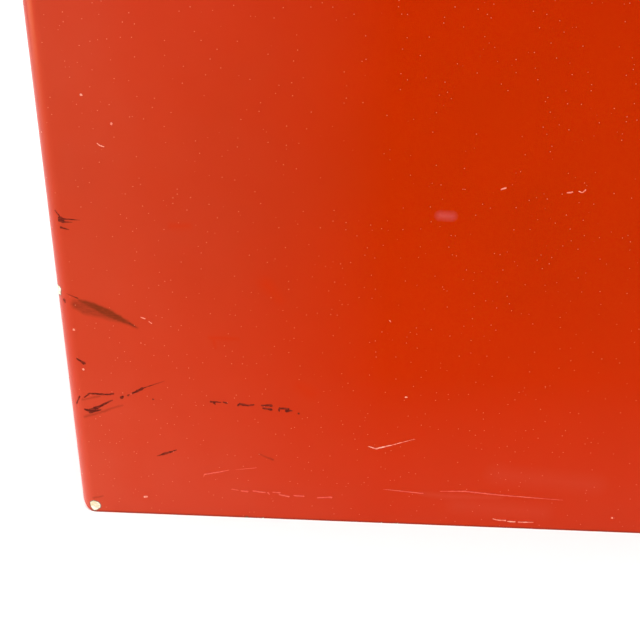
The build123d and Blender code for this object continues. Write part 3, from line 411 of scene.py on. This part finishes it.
def side_marks(coat, colour, low, high):
    """Adds the left side's own see-through rubs and smears to the colour."""
    x, y, z = coat.split()
    wobble = coat.vector("SUBTRACT", coat.noise(260.0, 3.0, 0.6, colour=True), (0.5, 0.5, 0.5))
    ahead = coat.math("MULTIPLY", coat.math("SUBTRACT", high.y, y), 1 / MM)
    point = coat.join(ahead, coat.math("MULTIPLY", z, 1 / MM), 0.0)
    bent = coat.vector("ADD", point, coat.vector("MULTIPLY", wobble, (1.3, 1.3, 0.0)))
    here = coat.math("LESS_THAN", x, low.x + SIDE_DEPTH)
    streaks = coat.noise(900.0, 3.0, 0.7, at=coat.stretch(RUB_GRAIN))
    thin = coat.math("MULTIPLY", coat.fit(streaks, 0.25, 0.75, 0.50, 0.85), here)
    colour = coat.mix(coat.math("MULTIPLY", strokes(coat, bent, BROWN_MARKS), thin), colour, BROWN_RUB_AND_CONTACT_SHADE)
    colour = coat.mix(coat.math("MULTIPLY", strokes(coat, bent, SCUFF_CORE), thin), colour, CORE_RUB)
    clean = coat.math("MULTIPLY", strokes(coat, bent, CLEAN_RUBS), coat.math("MULTIPLY", here, 0.45))
    colour = coat.mix(clean, colour, FRESH_RED)
    smear = coat.math("MULTIPLY", strokes(coat, bent, SMEARS), coat.math("MULTIPLY", here, 0.035))
    colour = coat.mix(smear, colour, PALE_RUB)
    smudge = coat.math("MULTIPLY", strokes(coat, bent, FINGER_SMUDGE), coat.math("MULTIPLY", here, 0.14))
    return coat.mix(smudge, colour, FINGER_PINK)


def red_enamel(node):
    """Glossy vermilion enamel: a pale chalky veil that also paints in the floor's reflection, painted shade
    darker towards the top, blotches, dust, lint, and chips along the part's edges, each ringed with painted
    shade.
    """
    coat = Finish("red_enamel_" + node)
    low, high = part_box(node)
    _, y, z = coat.split()
    edge = edge_distance(coat, low, high)
    blotch = coat.noise(7.0, 4.0, 0.6)
    clouds = coat.noise(26.0, 3.0, 0.55)
    # Painted shade: the red darkens with height towards the top, broken up by random blotches.
    upper = coat.fit(z, 0.0, SHADE_FULL_FROM, 0.15, 0.85)
    shade_and_blotch = coat.math("MULTIPLY", upper, coat.fit(blotch, 0.3, 0.7, 0.8, 1.15))
    colour = coat.mix(shade_and_blotch, RED, SHADED_RED)
    if node == "cabinet_shell":
        # Painted reflection: on the shell the pale veil, stronger low down and near the rear edge, paints in
        # the floor's reflection as well as chalk.
        ahead = coat.math("SUBTRACT", high.y, y)
        behind = coat.fit(ahead, VEIL_REACH_BEHIND[0], 0.0, 0.0, VEIL_REACH_BEHIND[1], smooth=False)
        under = coat.fit(z, VEIL_REACH_UNDER[0], 0.0, 0.0, VEIL_REACH_UNDER[1], smooth=False)
        chalk_and_reflection = coat.math("ADD", behind, under)
    else:
        chalk_and_reflection = coat.fit(edge, FILM_PART[0], 0.0, 0.0, FILM_PART[1])
    chalk_and_reflection = coat.math("MULTIPLY", chalk_and_reflection, coat.fit(clouds, 0.0, 1.0, 1.3, 0.7, smooth=False))
    colour = coat.mix(chalk_and_reflection, colour, CHALK_AND_REFLECTION_VEIL)
    fine_dust = coat.math("MULTIPLY", specks(coat, scale=330.0, share=0.35, largest=0.13), 0.6)
    dust = coat.math("MAXIMUM", specks(coat, scale=190.0, share=0.28, largest=0.10), fine_dust)
    lint = fibres(coat, scale=34.0, share=0.30, reach=0.08, width=0.008)
    light = coat.math("MAXIMUM", coat.math("MULTIPLY", dust, 0.7), coat.math("MULTIPLY", lint, 0.45))
    bite = coat.math("MULTIPLY", coat.noise(150.0, 5.0, 0.7), CHIP_BITE)
    worn_in = coat.math("SUBTRACT", bite, edge)
    chip = coat.math("GREATER_THAN", worn_in, CHIP_FROM)
    rim_shade = coat.math("GREATER_THAN", worn_in, RIM_SHADE_FROM)
    if node == "cabinet_shell":
        colour = side_marks(coat, colour, low, high)
        contact_shade = coat.fit(z, 1.6 * MM, 0.3 * MM, 0.0, 0.75)  # painted contact shadow: dark line where the shell meets the ground
        colour = coat.mix(contact_shade, colour, BROWN_RUB_AND_CONTACT_SHADE)
    colour = coat.mix(light, colour, PALE_RUB)
    bare = coat.mix(coat.fit(coat.noise(700.0, 3.0, 0.7), 0.48, 0.64), PRIMER, OLD_PRIMER)
    # painted shade: a dark ring round each chip, for the shadow of the enamel's step
    colour = coat.mix(rim_shade, colour, CHIP_RIM_SHADE)
    colour = coat.mix(chip, colour, bare)
    rough = coat.fit(clouds, 0.0, 1.0, 0.17, 0.265, smooth=False)
    rough = coat.math("ADD", rough, coat.math("MULTIPLY", coat.math("MAXIMUM", rim_shade, light), 0.35), clamp=True)
    height = coat.math("MULTIPLY", coat.noise(420.0, 2.0, 0.5), 0.08)
    height = coat.math("ADD", height, coat.math("MULTIPLY", coat.math("SUBTRACT", 1.0, rim_shade), 0.9))
    coat.set(base_color=colour, roughness=rough, ior=1.5, specular=0.5, specular_tint=(1.0, 0.34, 0.0))
    coat.relief(height, 0.12 * MM)
    return coat.material


# ---------------------------------------------------------------- other finishes
def shade(colour, factor):
    """A colour made darker or lighter by a factor, up to white."""
    return tuple(min(1.0, level * factor) for level in colour)


def steel(name, base, rough, grain, relief=0.02, tint=0.12, spangle=0.0):
    """Bare or plated metal: a stretched grain, tarnish, and crystals where it is galvanised."""
    coat = Finish(name)
    lines = coat.noise(900.0, 2.0, 0.6, at=coat.stretch(grain))
    tarnish = coat.noise(22.0, 4.0, 0.6)
    colour = coat.mix(coat.fit(tarnish, 0.40, 0.85, 0.0, 0.5), base, shade(base, 0.62))
    if spangle:
        crystal = coat.split(coat.cells(90.0).outputs["Color"])[0]
        colour = coat.mix(coat.math("MULTIPLY", crystal, spangle), colour, shade(base, 1.35))
        rough_here = coat.fit(crystal, 0.0, 1.0, rough - 0.1, rough + 0.12)
    else:
        rough_here = coat.fit(lines, 0.25, 0.75, rough - 0.07, rough + 0.1)
    colour = coat.mix(coat.fit(lines, 0.3, 0.8, 0.0, tint), colour, shade(base, 0.5))
    coat.set(base_color=colour, metallic=1.0, roughness=rough_here)
    coat.relief(lines, relief * MM)
    return coat.material


def stainless():
    return steel("stainless", (0.60, 0.595, 0.58), 0.36, (0.05, 1.0, 1.0), relief=0.015)


def zinc_steel():
    return steel("zinc_steel", (0.56, 0.565, 0.56), 0.38, (1.0, 1.0, 1.0), relief=0.03)


def galvanised():
    return steel("galvanised", (0.50, 0.52, 0.53), 0.42, (1.0, 1.0, 1.0), spangle=0.6)


def spring_steel():
    return steel("spring_steel", (0.20, 0.20, 0.21), 0.37, (1.0, 1.0, 1.0))


def brass():
    return steel("brass", (0.66, 0.46, 0.19), 0.36, (1.0, 1.0, 1.0), tint=0.3)


def chrome():
    coat = Finish("chrome")
    haze = coat.noise(60.0, 4.0, 0.6)
    pits = coat.math("LESS_THAN", coat.cells(900.0).outputs["Distance"], 0.09)
    colour = coat.mix(coat.math("MULTIPLY", pits, 0.5), (0.80, 0.80, 0.81), (0.25, 0.21, 0.17))
    coat.set(base_color=colour, metallic=1.0, roughness=coat.fit(haze, 0.35, 0.8, 0.06, 0.20))
    coat.relief(haze, 0.01 * MM)
    return coat.material


def rubber():
    coat = Finish("rubber")
    grain = coat.noise(1500.0, 2.0, 0.6)
    bloom = coat.fit(coat.noise(30.0, 4.0, 0.6), 0.45, 0.75)
    coat.set(base_color=coat.mix(bloom, (0.018, 0.018, 0.019), (0.05, 0.05, 0.048)), roughness=0.72)
    coat.relief(grain, 0.05 * MM)
    return coat.material


def clear_plastic():
    """Polycarbonate with a faint veil of fine scratches and dust."""
    coat = Finish("clear_plastic")
    fine = coat.noise(500.0, 2.0, 0.6, at=coat.stretch((1.0, 1.0, 0.06)))
    smear = coat.noise(12.0, 4.0, 0.6)
    rough = coat.math("ADD", coat.fit(fine, 0.58, 0.72, 0.0, 0.10), coat.fit(smear, 0.45, 0.8, 0.02, 0.10))
    coat.set(base_color=(0.96, 0.975, 0.97), roughness=rough, ior=1.58, transmission_weight=1.0)
    return coat.material


def black_plastic():
    coat = Finish("black_plastic")
    grain = coat.noise(1100.0, 3.0, 0.6)
    worn = coat.fit(coat.noise(25.0), 0.4, 0.8)
    colour = coat.mix(worn, (0.020, 0.020, 0.021), (0.045, 0.044, 0.042))
    coat.set(base_color=colour, roughness=coat.fit(grain, 0.3, 0.7, 0.42, 0.6))
    coat.relief(grain, 0.04 * MM)
    return coat.material


def card(node):
    """A blank printed card: pale stock with plain bands of colour and no lettering."""
    coat = Finish("card_" + node)
    low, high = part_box(node)
    x, _, z = coat.split()
    up = coat.fit(z, low.z, high.z, smooth=False)
    across = coat.fit(x, low.x, high.x, smooth=False)
    head_band = coat.math("GREATER_THAN", up, 0.74)
    foot_band = coat.math("LESS_THAN", up, 0.10)
    mottle = coat.fit(coat.noise(220.0, 4.0, 0.6), 0.4, 0.7, 0.0, 0.5)
    stock = coat.mix(mottle, (0.80, 0.78, 0.71), (0.72, 0.69, 0.60))
    faded = coat.mix(coat.fit(across, 0.0, 1.0, 0.0, 0.25), stock, (0.84, 0.76, 0.58))
    colour = coat.mix(head_band, faded, (0.035, 0.10, 0.26))
    colour = coat.mix(foot_band, colour, (0.55, 0.06, 0.02))
    coat.set(base_color=colour, roughness=0.62)
    coat.relief(coat.noise(900.0), 0.02 * MM)
    return coat.material


def concrete():
    coat = Finish("concrete")
    sand = coat.noise(420.0, 5.0, 0.7)
    stain = coat.noise(14.0, 5.0, 0.6)
    holes = coat.cells(130.0)
    chance = coat.split(holes.outputs["Color"])[0]
    chosen = coat.math("LESS_THAN", chance, 0.3)
    hole = coat.math("MULTIPLY", coat.fit(holes.outputs["Distance"], 0.22, 0.12), chosen)
    colour = coat.mix(coat.fit(stain, 0.35, 0.7), (0.40, 0.39, 0.36), (0.29, 0.28, 0.26))
    colour = coat.mix(coat.math("MULTIPLY", hole, 0.7), colour, (0.12, 0.115, 0.11))
    coat.set(base_color=colour, roughness=0.9)
    coat.relief(coat.math("SUBTRACT", coat.math("MULTIPLY", sand, 0.4), hole), 0.8 * MM)
    return coat.material


def finish_nodes():
    """Gives each CAD node its own finish, by the record's slot."""
    shared = {
        "stainless": stainless(), "zinc_steel": zinc_steel(), "galvanised": galvanised(),
        "spring_steel": spring_steel(), "brass": brass(), "chrome": chrome(), "rubber": rubber(),
        "clear_plastic": clear_plastic(), "black_plastic": black_plastic(), "concrete": concrete(),
    }
    for node, thing in frame["nodes"].items():
        slot = SLOT_OF[node]
        if slot == "red_paint":
            look = red_enamel(node)
        elif slot == "card":
            look = card(node)
        else:
            look = shared[slot]
        for place in thing.material_slots:
            place.material = look


# ---------------------------------------------------------------- scuffs and chips laid on the left side, with painted shade round the chips
BEDDED = -0.1  # how far under the skin, in millimetres, the laid pieces reach
SCRAPE_STEP = 0.8  # longest step along a scrape, in millimetres


def on_side(ahead, up, out):
    """The point of the left side's outer skin at a place in millimetres, lifted off it by out."""
    round_the_edge = EDGE_ROUND - ahead * MM
    if round_the_edge <= 0:
        return Vector((SHELL_LOW.x - out * MM, SHELL_HIGH.y - ahead * MM, up * MM))
    turn = math.asin(min(round_the_edge / EDGE_ROUND, 1.0))
    reach = EDGE_ROUND + out * MM
    x = SHELL_LOW.x + EDGE_ROUND - reach * math.cos(turn)
    return Vector((x, SHELL_HIGH.y - EDGE_ROUND + reach * math.sin(turn), up * MM))


def piece_of(mesh, name, look, body="cabinet"):
    """Turns a finished bmesh into a piece that rides a body."""
    bmesh.ops.recalc_face_normals(mesh, faces=mesh.faces)
    data = bpy.data.meshes.new(name)
    mesh.to_mesh(data)
    mesh.free()
    piece = bpy.data.objects.new(name, data)
    bpy.context.scene.collection.objects.link(piece)
    piece.data.materials.append(look)
    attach(piece, body)
    return piece


def closed_run(mesh, sections):
    """A closed solid through a run of sections that have the same number of points."""
    rings = [[mesh.verts.new(point) for point in section] for section in sections]
    for near, far in zip(rings, rings[1:]):
        for i in range(len(near)):
            mesh.faces.new((near[i - 1], near[i], far[i], far[i - 1]))
    mesh.faces.new(rings[0])
    mesh.faces.new(rings[-1])


def scrape(mesh, points, widths, lift, chance):
    """A thin ragged ribbon along a mark's line, bedded in the paint."""
    spine = []
    points = [Vector(p) for p in points]
    ends = list(zip(points, widths))
    for (start, wide), (end, wide_end) in zip(ends, ends[1:]):
        along = end - start
        count = max(2, math.ceil(along.length / SCRAPE_STEP))
        for i in range(count):
            spine.append((start.lerp(end, i / count), wide + (wide_end - wide) * i / count, along))
    spine.append((points[-1], widths[-1], points[-1] - points[-2]))
    tips = []
    for (place, wide, along), way in ((spine[0], -1), (spine[-1], 1)):
        tips.append((place + along.normalized() * wide * 0.8 * way, wide * 0.35, along))
    sections = []
    for place, wide, along in (tips[0], *spine, tips[1]):
        side = Vector((-along.y, along.x)).normalized()
        left = place + side * wide * chance.uniform(0.7, 1.25)
        right = place - side * wide * chance.uniform(0.7, 1.25)
        sections.append([
            on_side(*left, BEDDED), on_side(*left, lift * 0.6), on_side(*place, lift),
            on_side(*right, lift * 0.6), on_side(*right, BEDDED), on_side(*place, BEDDED),
        ])
    closed_run(mesh, sections)


def bare_patch(mesh, middle, half_ahead, half_up, grow, lift, chance):
    """An irregular flake, made of rings that follow the skin from its middle out, down and back."""
    spokes = 14
    ragged = [chance.uniform(0.80, 1.12) for _ in range(spokes)]
    top = [(0.0, lift), (0.45, lift * 1.1), (0.8, lift * 0.9), (1.0, lift * 0.6)]
    levels = [*top, (1.0, BEDDED), (0.0, BEDDED)]
    rings = []
    for share, out in levels:
        ring = []
        for i, reach in enumerate(ragged if share else [0.0]):
            angle = math.tau * i / spokes
            ahead = middle[0] + (half_ahead * reach + grow) * share * math.cos(angle)
            up = max(middle[1] + (half_up * reach + grow) * share * math.sin(angle), 0.25)
            ring.append(mesh.verts.new(on_side(max(ahead, 0.3), up, out * chance.uniform(0.85, 1.15))))
        rings.append(ring)
    for near, far in zip(rings, rings[1:]):
        for i in range(spokes):
            before = i - 1
            inner = [near[i % len(near)], near[before % len(near)]]
            outer = [far[before % len(far)], far[i % len(far)]]
            mesh.faces.new(list(dict.fromkeys(inner + outer)))


def rub_finish(name, light, dark, rough, shine=0.5):
    """Dull rubbed paint, primer and the painted shade round chips, each streaked along the panel."""
    coat = Finish(name)
    streaks = coat.noise(900.0, 3.0, 0.7, at=coat.stretch(RUB_GRAIN))
    coat.set(base_color=coat.mix(coat.fit(streaks, 0.35, 0.6), light, dark), roughness=rough, specular=shine)
    coat.relief(streaks, 0.02 * MM)
    return coat.material


def side_wear():
    """The left side's gouges, scratches and the two chips that go down to the primer, each chip ringed with
    painted shade.
    """
    looks = {
        "gouges": (DARK_MARKS, 0.03, rub_finish("dark_rub", DARK_RUB, DARKEST_RUB, 0.6, shine=0.06)),
        "traces": (TRACES, 0.03, rub_finish("trace_rub", TRACE_RUB, TRACE_RUB_DEEP, 0.45)),
        "scratches": (PALE_MARKS, 0.04, rub_finish("pale_rub", PALE_RUB, PALE_RUB_DEEP, 0.5)),
    }
    for name, (marks, lift, look) in looks.items():
        mesh = bmesh.new()
        chance = random.Random(len(marks))
        for points, widths in marks:
            scrape(mesh, points, widths, lift, chance)
        piece_of(mesh, "side_" + name, look)
    primer = rub_finish("primer", PRIMER, OLD_PRIMER, 0.7)
    # painted shade: dark pieces ringing the chips, for the shadow of the enamel's step
    rim_shade_look = rub_finish("chip_rim_shade", CHIP_RIM_SHADE_PALE, CHIP_RIM_SHADE, 0.5)
    for name, grow, lift, look in (("chip_rim_shades", 0.45, 0.05, rim_shade_look), ("chips", 0.0, 0.09, primer)):
        mesh = bmesh.new()
        for i, (middle, half_ahead, half_up) in enumerate(CHIPS):
            bare_patch(mesh, middle, half_ahead, half_up, grow, lift, random.Random(i))
        piece_of(mesh, "side_" + name, look)


# ---------------------------------------------------------------- springs as pieces of their own
def copy_of(node, name, keep):
    """A new piece with a node's mesh, holding only the vertices whose places keep accepts."""
    mesh = bmesh.new()
    mesh.from_mesh(frame["nodes"][node].data)
    bmesh.ops.delete(mesh, geom=[vert for vert in mesh.verts if not keep(vert.co)], context="VERTS")
    data = bpy.data.meshes.new(name)
    mesh.to_mesh(data)
    mesh.free()
    for polygon in data.polygons:
        polygon.use_smooth = True
    piece = bpy.data.objects.new(name, data)
    bpy.context.scene.collection.objects.link(piece)
    piece.data.materials.clear()
    piece.data.materials.append(frame["nodes"][node].material_slots[0].material)
    return piece


def springs():
    """Copies the springs as pieces of their own, the torsion springs split into left and right, and hides the
    CAD springs.
    """
    for side, name in ((-1, "hinge_spring_left"), (1, "hinge_spring_right")):
        piece = copy_of("hinge_springs", name, lambda place: place.x * side > 0)
        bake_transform(piece)
        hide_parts("hinge_springs")
    piece = copy_of("latch_spring", "latch_spring_coil", lambda place: True)
    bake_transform(piece)
    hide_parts("latch_spring")
    piece = copy_of("button_spring", "button_spring_coil", lambda place: True)
    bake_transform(piece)
    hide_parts("button_spring")


# ---------------------------------------------------------------- stage
LOOK_DOWN = math.radians(23.2)
LOOK_TURN = math.radians(3.8)  # the camera's turn from straight across the box, towards its rear
FOCAL = 1.406  # focal length as a share of the picture's width
CORNER_DEPTH = 0.495  # how far in front of the camera the lower rear corner lies
CORNER_RIGHT = -0.3752  # where that corner falls from the picture's middle, as shares of its width
CORNER_UP = -0.2984
# The world's brightness at heights from the horizon, 0, to overhead, 1.
SKY = [(0.0, 1.0), (0.04, 0.72), (0.14, 0.62), (0.32, 0.42), (0.90, 0.25)]


def camera():
    """Close up on the lower rear corner of the left side, looking straight at the panel and down."""
    data = bpy.data.cameras.new("camera")
    data.lens = FOCAL * data.sensor_width
    data.clip_start = 0.01
    thing = bpy.data.objects.new("camera", data)
    bpy.context.scene.collection.objects.link(thing)
    flat = Vector((math.cos(LOOK_TURN), math.sin(LOOK_TURN), 0))
    forward = flat * math.cos(LOOK_DOWN) - Vector((0, 0, math.sin(LOOK_DOWN)))
    right = forward.cross(Vector((0, 0, 1))).normalized()
    up = right.cross(forward)
    corner = Vector((SHELL_LOW.x, SHELL_HIGH.y, 0))
    step = CORNER_DEPTH / FOCAL
    offset = forward * CORNER_DEPTH + right * CORNER_RIGHT * step + up * CORNER_UP * step
    thing.location = corner - offset
    thing.rotation_mode = "QUATERNION"
    thing.rotation_quaternion = forward.to_track_quat("-Z", "Y")
    bpy.context.scene.camera = thing


def soft_light(name, place, target, size, power):
    """A square area light that faces its target."""
    data = bpy.data.lights.new(name, "AREA")
    data.size = size
    data.energy = power
    thing = bpy.data.objects.new(name, data)
    bpy.context.scene.collection.objects.link(thing)
    thing.location = place
    thing.rotation_mode = "QUATERNION"
    thing.rotation_quaternion = (Vector(target) - Vector(place)).to_track_quat("-Z", "Y")


def soft_sun(name, tilt, turn, strength, spread):
    """Soft light from high up: tilt degrees off upright, turned about Z, from a disc spread degrees wide."""
    data = bpy.data.lights.new(name, "SUN")
    data.energy = strength
    data.angle = math.radians(spread)
    thing = bpy.data.objects.new(name, data)
    bpy.context.scene.collection.objects.link(thing)
    thing.rotation_euler = (math.radians(tilt), 0, math.radians(turn))


def studio_world():
    """White up to the horizon, and dimmer overhead so that bright metal has something to reflect."""
    world = bpy.data.worlds.new("studio")
    bpy.context.scene.world = world
    world.use_nodes = True
    tree = world.node_tree
    direction = tree.nodes.new("ShaderNodeTexCoord")
    parts = tree.nodes.new("ShaderNodeSeparateXYZ")
    ramp = tree.nodes.new("ShaderNodeValToRGB")
    stops = ramp.color_ramp.elements
    for i, (height, level) in enumerate(SKY):
        stop = stops[0] if i == 0 else stops.new(height)
        stop.position = height
        stop.color = (level, level, level, 1.0)
    stops.remove(stops[-1])  # the ramp's own white stop, which has come last
    tree.links.new(direction.outputs["Generated"], parts.inputs[0])
    tree.links.new(parts.outputs["Z"], ramp.inputs["Fac"])
    tree.links.new(ramp.outputs["Color"], tree.nodes["Background"].inputs["Color"])


def stage():
    """A plain pale floor under plain soft light."""
    bpy.ops.mesh.primitive_circle_add(vertices=96, radius=14.0, fill_type="NGON", location=(0, 0, 0))
    floor = bpy.context.object
    floor.name = "floor"
    coat = Finish("floor")
    coat.set(base_color=(0.93, 0.93, 0.93), roughness=0.9)
    floor.data.materials.append(coat.material)
    studio_world()
    soft_sun("overhead", tilt=7, turn=262, strength=3.7, spread=70)
    soft_light("window", place=(-1.1, 2.5, 0.8), target=(-0.25, 0.2, 0.35), size=1.5, power=31.0)
    bpy.context.scene.view_settings.view_transform = "Standard"
    bpy.context.scene.view_settings.look = "None"


finish_nodes()
side_wear()
springs()
stage()
camera()
